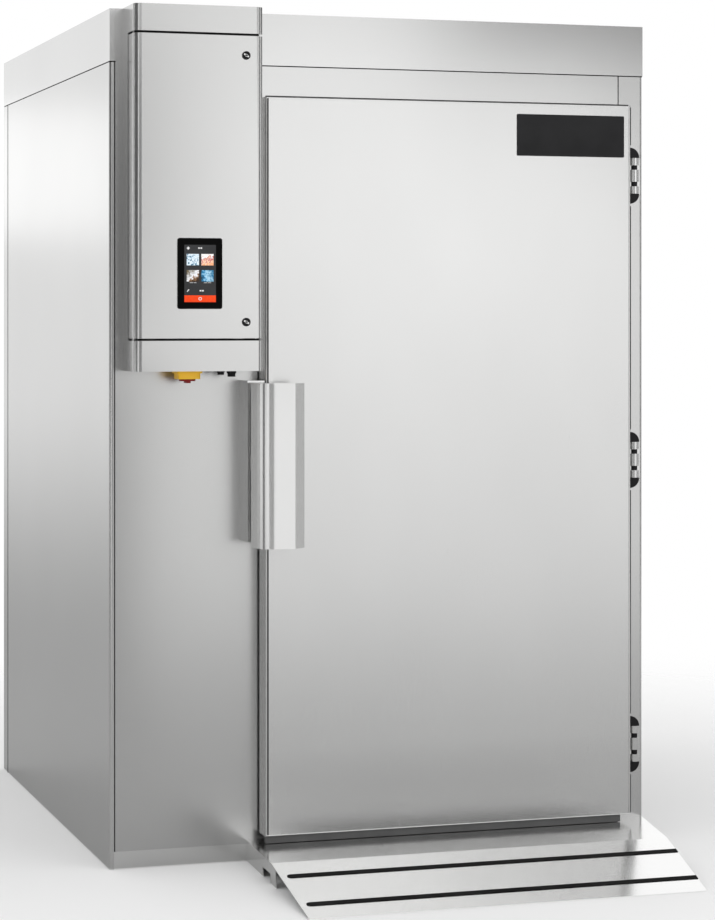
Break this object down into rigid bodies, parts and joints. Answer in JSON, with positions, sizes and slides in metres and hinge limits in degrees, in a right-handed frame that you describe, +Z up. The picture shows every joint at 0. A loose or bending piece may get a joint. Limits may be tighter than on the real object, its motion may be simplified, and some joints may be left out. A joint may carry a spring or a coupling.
{
  "type": "proofing cabinet",
  "caption": "Free-standing stainless roll-in proofing cabinet with a hinged door, pull handle, control box with display, fan unit inside and a loading ramp.",
  "frame": {"origin": "on the floor, at the middle of the cabinet's footprint without the ramp", "axes": "+Z up, the door faces -Y, +X to the right of someone who faces the door"},
  "size_m": [1.51, 2.3, 2.25],
  "materials": {
    "stainless": "satin, fine vertical grain",
    "ramp_steel": "bright rolled",
    "zinc_steel": "zinc plated",
    "bare_aluminium": "mill finish",
    "motor_paint": "satin",
    "black_plastic": "matt",
    "grey_plastic": "matt",
    "seal_rubber": "matt",
    "grip_rubber": "coarse grit",
    "display_black": "glossy",
    "screen_face": "backlit",
    "switch_yellow": "satin",
    "switch_red": "satin",
    "plate_grey": "satin, bare"
  },
  "bodies": {
    "cabinet": {"floor_panel": "stainless", "left_wall": "stainless", "right_wall": "stainless", "rear_wall": "stainless", "roof_panel": "stainless", "fascia": "stainless", "front_left_panel": "stainless", "kick_strip": "stainless", "header_panel": "stainless", "right_jamb": "stainless", "sill": "stainless", "ramp_plate": "ramp_steel", "ramp_ribs": "ramp_steel", "ramp_grips": "grip_rubber", "hinge_frame_leaf_1": "stainless", "hinge_frame_leaf_2": "stainless", "hinge_frame_leaf_3": "stainless", "hinge_pins": "stainless", "strike": "stainless", "box_housing": "stainless", "cover_pins": "stainless", "switch_base": "switch_yellow", "service_sockets": "black_plastic", "mounting_plate": "zinc_steel", "mounting_rails": "zinc_steel", "contactors": "grey_plastic", "terminal_strip": "grey_plastic", "fan_baffle": "stainless", "fan_guards": "zinc_steel", "fan_motors": "motor_paint", "cooling_coil": "bare_aluminium", "heater": "zinc_steel", "steam_pipe": "stainless", "drip_tray": "stainless", "drain_pipe": "zinc_steel", "bumper_rails": "stainless"},
    "door": {"door_leaf": "stainless", "door_skin": "stainless", "door_liner": "stainless", "door_gasket": "seal_rubber", "door_sweep": "seal_rubber", "door_plate": "plate_grey", "hinge_door_leaf_1": "stainless", "hinge_door_leaf_2": "stainless", "hinge_door_leaf_3": "stainless", "hinge_caps": "black_plastic", "handle_base": "stainless", "handle_pin": "stainless"},
    "handle": {"handle_lever": "stainless"},
    "control_cover": {"box_cover": "stainless", "display_module": "black_plastic", "display_glass": "display_black", "display_screen": "screen_face"},
    "lock_upper": {"lock_upper": "stainless"},
    "lock_lower": {"lock_lower": "stainless"},
    "main_switch": {"switch_knob": "switch_red"},
    "fan_1": {"fan_rotor_1": "black_plastic"},
    "fan_2": {"fan_rotor_2": "black_plastic"},
    "fan_3": {"fan_rotor_3": "black_plastic"}
  },
  "joints": [
    {"name": "door_swing", "type": "hinge", "parent": "cabinet", "child": "door", "pos_m": [0.7045, -0.858, 1.048], "axis": [0, 0, 1], "range_deg": [0, 115]},
    {"name": "handle_pull", "type": "hinge", "parent": "door", "child": "handle", "pos_m": [-0.385, -0.92, 1.057], "axis": [0, 0, -1], "range_deg": [0, 22], "stiffness_Nm_per_rad": 6},
    {"name": "cover_swing", "type": "hinge", "parent": "cabinet", "child": "control_cover", "pos_m": [-0.709, -0.884, 1.777], "axis": [0, 0, -1], "range_deg": [0, 100]},
    {"name": "lock_upper_turn", "type": "hinge", "parent": "control_cover", "child": "lock_upper", "pos_m": [-0.425, -0.945, 2.123], "axis": [0, 1, 0], "range_deg": [0, 90]},
    {"name": "lock_lower_turn", "type": "hinge", "parent": "control_cover", "child": "lock_lower", "pos_m": [-0.425, -0.945, 1.431], "axis": [0, 1, 0], "range_deg": [0, 90]},
    {"name": "switch_turn", "type": "hinge", "parent": "cabinet", "child": "main_switch", "pos_m": [-0.566, -0.878, 1.283], "axis": [0, 0, 1], "range_deg": [0, 90]},
    {"name": "fan_1_spin", "type": "hinge", "parent": "cabinet", "child": "fan_1", "pos_m": [-0.375, 0, 0.465], "axis": [1, 0, 0], "continuous": true},
    {"name": "fan_2_spin", "type": "hinge", "parent": "cabinet", "child": "fan_2", "pos_m": [-0.375, 0, 1.075], "axis": [1, 0, 0], "continuous": true},
    {"name": "fan_3_spin", "type": "hinge", "parent": "cabinet", "child": "fan_3", "pos_m": [-0.375, 0, 1.685], "axis": [1, 0, 0], "continuous": true}
  ]
}
